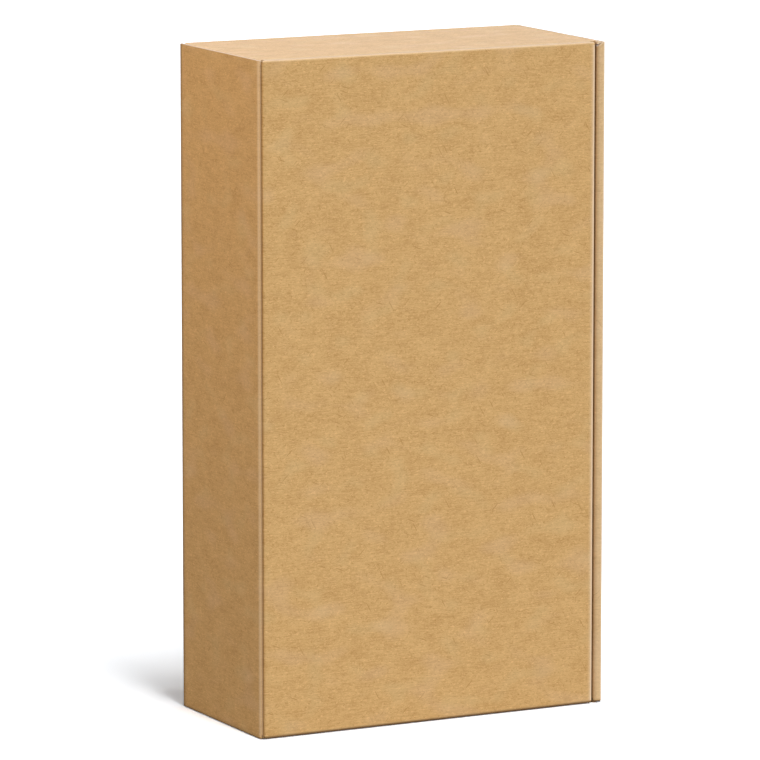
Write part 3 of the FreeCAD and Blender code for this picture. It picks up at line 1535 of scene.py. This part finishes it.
@dataclass
class Lid:
    """The moving part of the sheet: lid face and tuck flap."""

    sizes: BoxSizes
    hinge: HingeLine
    materials: Finishes
    edge_round: float = 0.15 * MM
    edge_steps: int = 4
    long_edge_round: float = 1.1 * MM
    # Drawn paper and painted highlight on the fold to the tuck flap and along the top edge.
    side_fold_wear_and_highlight: float = 1.0
    top_edge_wear_and_highlight: float = 1.0
    # Painted shade round the foot edge.
    foot_edge_painted_shade: float = -0.65
    foot_edge_fall: float = 2.0
    # Painted shade near the ground.
    foot_painted_shade: float = -0.6
    edge_spread: float = 2.0 * MM
    crease_edge_round: float = 0.6 * MM
    axis_lift: float = 0.15 * MM
    swing_gap: float = 0.4 * MM
    flap_depth: float = 32.0 * MM
    flap_end_gap: float = 2.8 * MM
    flap_taper: float = 7.0 * MM
    flap_round: float = 9.0 * MM
    flap_round_steps: int = 6

    def lean(self) -> float:
        """Find how far the tuck flap leans inwards to swing out past the rolled wall.

        Returns:
            The angle in radians.
        """
        sizes = self.sizes
        axis = self.hinge.point(sizes.hinge_fold + self.axis_lift, self.hinge.direction)
        swing = sizes.rolled_inner - axis[0] - self.swing_gap
        tip_y = sizes.front + self.flap_depth
        tip_x = axis[0] + math.sqrt(swing**2 - (tip_y - axis[1]) ** 2)
        return math.atan2(sizes.lid_right - tip_x, self.flap_depth - sizes.lid_fold)

    def heights(self, low: float) -> list[float]:
        """Levels of the lid's rows.

        Args:
            low: the lowest level, with its mirror at the top as the highest.

        Returns:
            The levels, from below.
        """
        sizes = self.sizes
        below = [
            sizes.edge_inset,
            self.edge_spread,
            self.flap_end_gap,
            self.flap_end_gap + sizes.crease_spread,
        ]
        levels = sorted(sizes.from_end(end, level) for end in End for level in below)
        slack = FoldedSheet.grain
        return [level for level in levels if low - slack < level < sizes.height - low + slack]

    def rounding(self, middle: Vector) -> float:
        """Rounding of the outer corner of a free edge.

        Args:
            middle: the middle of the edge between two spots.

        Returns:
            The radius.
        """
        sizes = self.sizes
        level = min(middle.z, sizes.height - middle.z) - sizes.edge_inset
        if level < FoldedSheet.grain:
            return self.long_edge_round
        centre = self.hinge.centre
        angle = math.atan2(middle.y - centre[1], middle.x - centre[0]) % (2 * math.pi)
        near_crease = abs(angle - self.hinge.direction) < 2 * self.hinge.half_angle
        return self.crease_edge_round if near_crease else self.edge_round

    def edge_tone(self, middle: Vector, share: float) -> float | None:
        """Tone of a free edge: drawn paper and painted highlight round the top, painted shade round
        the foot.

        Args:
            middle: point half way through the board.
            share: share of the way round the edge's corner.

        Returns:
            The tone, or None to keep the spot's own.
        """
        if middle.z > self.sizes.height - self.flap_end_gap / 2:
            return self.top_edge_wear_and_highlight * share
        if middle.z < self.flap_end_gap / 2:
            return max(-1.0, self.foot_edge_painted_shade - self.foot_edge_fall * share)
        return None

    def build(self) -> bpy.types.Object:
        """Make the lid.

        Returns:
            Its object, which stands for the lid's node.
        """
        sizes, spread = self.sizes, self.sizes.crease_spread
        sheet = FoldedSheet(self.edge_round, self.edge_steps)
        placing = Placing(
            lambda x, y, z: Vector((x, y, z)),
            lambda way, z: (-way, z),
            -1,
            sizes.board,
            self.foot_painted_shade,
        )
        angle = self.hinge.direction + self.hinge.half_angle
        start = self.hinge.point(sizes.hinge_fold - sizes.board / 2, angle)
        run = BoardRun(Station(*start, angle + math.pi / 2, 0.0), sizes.board)
        turn = 90 - self.hinge.turn_deg - math.degrees(self.hinge.half_angle)
        run.fold(sizes.hinge_fold_inside, turn, 0.0)
        length = sizes.lid_right - sizes.lid_fold - run.last.x
        run.straight(length, (spread, length - spread))
        run.fold(sizes.lid_fold_inside, 90 + math.degrees(self.lean()), self.side_fold_wear_and_highlight)
        sheet.add_patch(placing.rows(run.stations, self.heights(sizes.edge_inset)))

        length = (self.flap_depth - sizes.lid_fold) / math.cos(self.lean())
        stops = [spread] + round_stops(length, self.flap_round, self.flap_round_steps)
        flap = BoardRun(run.last, sizes.board).straight(length, tuple(stops))
        levels = self.heights(self.flap_end_gap)
        middle = sizes.height / 2
        patch = []
        for station in flap.stations:
            distance = station.way - flap.stations[0].way
            inset = flap_inset(distance, length, self.flap_taper, self.flap_round)
            scale = 1 - inset / (levels[-1] - middle)
            patch += placing.rows([station], [middle + (z - middle) * scale for z in levels])
        sheet.add_patch(patch)
        made = sheet.to_object("folded_lid", self.materials, self.rounding, self.edge_tone)
        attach(made, "lid")
        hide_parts("lid")
        return made


@dataclass
class HingeCrease:
    """The pressed strip of board that bends where the lid opens."""

    sizes: BoxSizes
    hinge: HingeLine
    materials: Finishes
    edge_round: float = 0.02 * MM
    edge_steps: int = 1

    def build(self) -> bpy.types.Object:
        """Make the strip.

        Returns:
            Its object, which lies between tray and lid.
        """
        sizes, hinge = self.sizes, self.hinge
        sheet = FoldedSheet(self.edge_round, self.edge_steps)
        outer_radius = sizes.hinge_fold - hinge.groove_depth
        inner_radius = sizes.hinge_fold_inside + hinge.inner_recess
        seat_angle = hinge.seat / sizes.hinge_fold
        low = sizes.edge_inset + hinge.end_recess
        rows = []
        for step in range(hinge.steps + 1):
            share = 2 * step / hinge.steps - 1
            turned = share * (hinge.half_angle + seat_angle)
            angle = hinge.direction + turned
            row = []
            for level in (low, sizes.height - low):
                outer = Vector((*hinge.point(outer_radius, angle), level))
                inner = Vector((*hinge.point(inner_radius, angle), level))
                paper = Vector((-turned * sizes.hinge_fold, level))
                normal = (outer - inner).normalized()
                # The whole strip carries the painted shade of the groove.
                row.append(Spot(outer, inner, normal, paper, hinge.groove_painted_shade))
            rows.append(row)
        sheet.add_patch(rows)
        made = sheet.to_object("hinge_crease", self.materials)
        middle = Vector((*hinge.point(sizes.hinge_fold, hinge.direction), 0.0))
        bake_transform(made)
        return made


@dataclass(frozen=True)
class Lamp:
    """A distant soft lamp; its strength is the level it gives a matt white face square to it."""

    name: str
    azimuth_deg: float
    elevation_deg: float
    strength: float
    spread_deg: float
    colour: str = "#FFFFFF"

    def build(self) -> None:
        """Hang the lamp."""
        light = bpy.data.lights.new(self.name, "SUN")
        light.energy = math.pi * self.strength
        light.angle = math.radians(self.spread_deg)
        light.color = linear(self.colour)[:3]
        lamp = bpy.data.objects.new(self.name, light)
        lamp.rotation_euler = (
            math.radians(90 - self.elevation_deg),
            0.0,
            math.radians(self.azimuth_deg),
        )
        bpy.context.scene.collection.objects.link(lamp)


@dataclass(frozen=True)
class SoftBox:
    """A square soft lamp beside the box, which lights the near part of a face the most.

    Its strength is its level on a face square to it at the aim.
    """

    name: str
    place: tuple[float, float, float]
    aim: tuple[float, float, float]
    size: float
    strength: float
    colour: str = "#FFFFFF"

    def build(self, pieces: list[bpy.types.Object]) -> None:
        """Hang the lamp.

        Args:
            pieces: the pieces that it lights, so that the floor's shadow stays neutral.
        """
        reach = Vector(self.aim) - Vector(self.place)
        light = bpy.data.lights.new(self.name, "AREA")
        light.shape = "SQUARE"
        light.size = self.size
        # A square lamp's power for a level of 1 grows with the square of its distance.
        light.energy = math.pi**2 * self.strength * reach.length_squared
        light.color = linear(self.colour)[:3]
        lamp = bpy.data.objects.new(self.name, light)
        lamp.location = self.place
        lamp.rotation_euler = reach.to_track_quat("-Z", "Y").to_euler()
        lamp.visible_camera = False
        lamp.visible_glossy = False
        lit = bpy.data.collections.new("lit_by_" + self.name)
        for piece in pieces:
            lit.objects.link(piece)
        lamp.light_linking.receiver_collection = lit
        bpy.context.scene.collection.objects.link(lamp)


def shown_rays(tree: Tree, path: bpy.types.Node) -> Socket:
    """Find the rays that show something to the camera.

    Args:
        tree: the node tree.
        path: its light path node.

    Returns:
        An output that is 1 for these rays and 0 for the others.
    """
    rays = {0: path.outputs["Is Camera Ray"], 1: path.outputs["Is Transmission Ray"]}
    return add_node(tree, "ShaderNodeMath", {"operation": "MAXIMUM"}, rays).outputs[0]


def directed(
    tree: Tree,
    towards: tuple[float, float, float],
    span: tuple[float, float],
    levels: tuple[float, float],
) -> Socket:
    """Level of the surroundings that changes smoothly along a direction.

    Args:
        tree: the node tree.
        towards: the direction.
        span: where along it the change starts and ends.
        levels: level at the start and at the end.

    Returns:
        The level.
    """
    view = add_node(tree, "ShaderNodeTexCoord").outputs["Generated"]
    along = add_node(
        tree, "ShaderNodeVectorMath", {"operation": "DOT_PRODUCT"}, {0: view, 1: towards}
    ).outputs["Value"]
    ends = {"From Min": span[0], "From Max": span[1], "To Min": levels[0], "To Max": levels[1]}
    return add_node(
        tree, "ShaderNodeMapRange", {"interpolation_type": "SMOOTHSTEP"}, {"Value": along, **ends}
    ).outputs[0]


@dataclass(frozen=True)
class Studio:
    """White floor and surroundings, soft lamps and the camera of the photograph."""

    floor_half: float = 30.0
    ambient_front: float = 0.75
    ambient_back: float = 0.22
    ambient_towards: tuple[float, float, float] = (0.0, 0.8, 0.6)
    ambient_span: tuple[float, float] = (-0.6, 0.6)
    ambient_colour: str = "#ECF4FF"
    reflected: float = 3.3
    reflected_towards: tuple[float, float, float] = (0.46, 0.89, 0.0)
    reflected_span: tuple[float, float] = (0.0, 0.6)
    floor_albedo: float = 0.4
    floor_shown: tuple[float, float, float] = (1.69, 1.7, 1.7)
    lamps: tuple[Lamp, ...] = (
        Lamp("overhead_back", 0.0, 83.5, 0.09, 3.0),
        Lamp("overhead_middle", 0.0, 78.5, 0.1, 6.0),
        Lamp("overhead_front", 0.0, 72.0, 0.11, 9.0),
        Lamp("overhead_low", 0.0, 64.0, 0.1, 12.0),
        Lamp("front_fill", 0.0, 7.0, 0.26, 14.0),
        Lamp("right_fill", 60.0, 6.0, 0.32, 20.0),
        Lamp("back_fill", 180.0, 12.0, 0.1, 20.0),
    )
    side_lamp: SoftBox = SoftBox(
        "left_box", (-0.8, 0.0, 0.62), (-0.1, 0.0, 0.3), 0.2, 0.46, "#FFE3BA"
    )
    frame_pixels: float = 760.0
    focal_pixels: float = 6214.8
    camera_place: tuple[float, float, float] = (-1.47629, -2.84044, 0.6952)
    camera_turn_deg: float = 27.344
    camera_dip_deg: float = 9.269
    sensor: float = 36.0
    camera_reach: float = 200.0

    def build_world(self) -> None:
        """White surroundings: dimmed where they light the box, and brighter behind it."""
        world = bpy.data.worlds.new("white_surroundings")
        world.use_nodes = True
        tree = world.node_tree
        path = add_node(tree, "ShaderNodeLightPath")
        shown = shown_rays(tree, path)
        levels = (self.ambient_front, self.ambient_back)
        ambient = directed(tree, self.ambient_towards, self.ambient_span, levels)
        levels = (0.0, self.reflected)
        reflected = directed(tree, self.reflected_towards, self.reflected_span, levels)
        ends = {"Factor": path.outputs["Is Glossy Ray"], "A": ambient, "B": reflected}
        lit = add_node(tree, "ShaderNodeMix", NUMBERS, ends).outputs["Result"]
        ends = {"Factor": shown, "A": lit, "B": 1.0}
        strength = add_node(tree, "ShaderNodeMix", NUMBERS, ends).outputs["Result"]
        ends = {"Factor": shown, "A": linear(self.ambient_colour), "B": (1.0, 1.0, 1.0, 1.0)}
        colour = add_node(tree, "ShaderNodeMix", COLOURS, ends).outputs["Result"]
        set_inputs(tree, tree.nodes["Background"], {"Color": colour, "Strength": strength})
        bpy.context.scene.world = world

    def floor_material(self) -> bpy.types.Material:
        """Make matt white paper that shows white and keeps the shadow of the box.

        Returns:
            The material.
        """
        material = bpy.data.materials.new("white_paper_roll")
        material.use_nodes = True
        tree = material.node_tree
        tree.nodes.remove(tree.nodes["Principled BSDF"])
        plain = (self.floor_albedo,) * 3
        # The shown colour is above 1, so that two shaders share it.
        half = tuple(level / 2 for level in self.floor_shown)
        shades = []
        for levels in (plain, half, half):
            shade = add_node(tree, "ShaderNodeBsdfDiffuse", {}, {"Color": (*levels, 1.0)})
            shades.append(shade.outputs[0])
        shown = add_node(tree, "ShaderNodeAddShader", {}, {0: shades[1], 1: shades[2]}).outputs[0]
        path = add_node(tree, "ShaderNodeLightPath")
        mixed = add_node(
            tree,
            "ShaderNodeMixShader",
            {},
            {0: shown_rays(tree, path), 1: shades[0], 2: shown},
        ).outputs[0]
        tree.links.new(mixed, tree.nodes["Material Output"].inputs["Surface"])
        return material

    def build_floor(self) -> None:
        """Lay the floor."""
        half = self.floor_half
        mesh = bpy.data.meshes.new("floor")
        corners = [(-half, -half, 0), (half, -half, 0), (half, half, 0), (-half, half, 0)]
        mesh.from_pydata(corners, [], [(0, 1, 2, 3)])
        mesh.materials.append(self.floor_material())
        floor = bpy.data.objects.new("floor", mesh)
        bpy.context.scene.collection.objects.link(floor)

    def build_camera(self) -> None:
        """Set up the camera at the photograph's view."""
        data = bpy.data.cameras.new("photo_view")
        data.sensor_fit = "HORIZONTAL"
        data.sensor_width = self.sensor
        data.lens = self.focal_pixels / self.frame_pixels * self.sensor
        data.clip_end = self.camera_reach
        camera = bpy.data.objects.new("photo_view", data)
        camera.location = self.camera_place
        camera.rotation_euler = (
            math.radians(90 - self.camera_dip_deg),
            0.0,
            -math.radians(self.camera_turn_deg),
        )
        bpy.context.scene.collection.objects.link(camera)
        bpy.context.scene.camera = camera

    def build(self, pieces: list[bpy.types.Object]) -> None:
        """Set up the whole studio.

        Args:
            pieces: the pieces of the box, which the side lamp lights alone.
        """
        bpy.context.scene.view_settings.view_transform = "Standard"
        self.build_world()
        self.build_floor()
        for lamp in self.lamps:
            lamp.build()
        self.side_lamp.build(pieces)
        self.build_camera()


def main() -> None:
    """Build the box and its studio in order."""
    logging.basicConfig(level=logging.INFO, format="%(name)s: %(message)s")
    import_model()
    sizes = BoxSizes.from_frame()
    hinge = HingeLine(sizes)
    materials = (KraftLiner().build(), CutBoard().build())
    pieces = []
    for maker in (Tray, Lid, HingeCrease):
        made = maker(sizes, hinge, materials).build()
        LOG.info("%s: %d faces", made.name, len(made.data.polygons))
        pieces.append(made)
    Studio().build(pieces)
    LOG.info("studio set up")


if __name__ == "__main__":
    main()
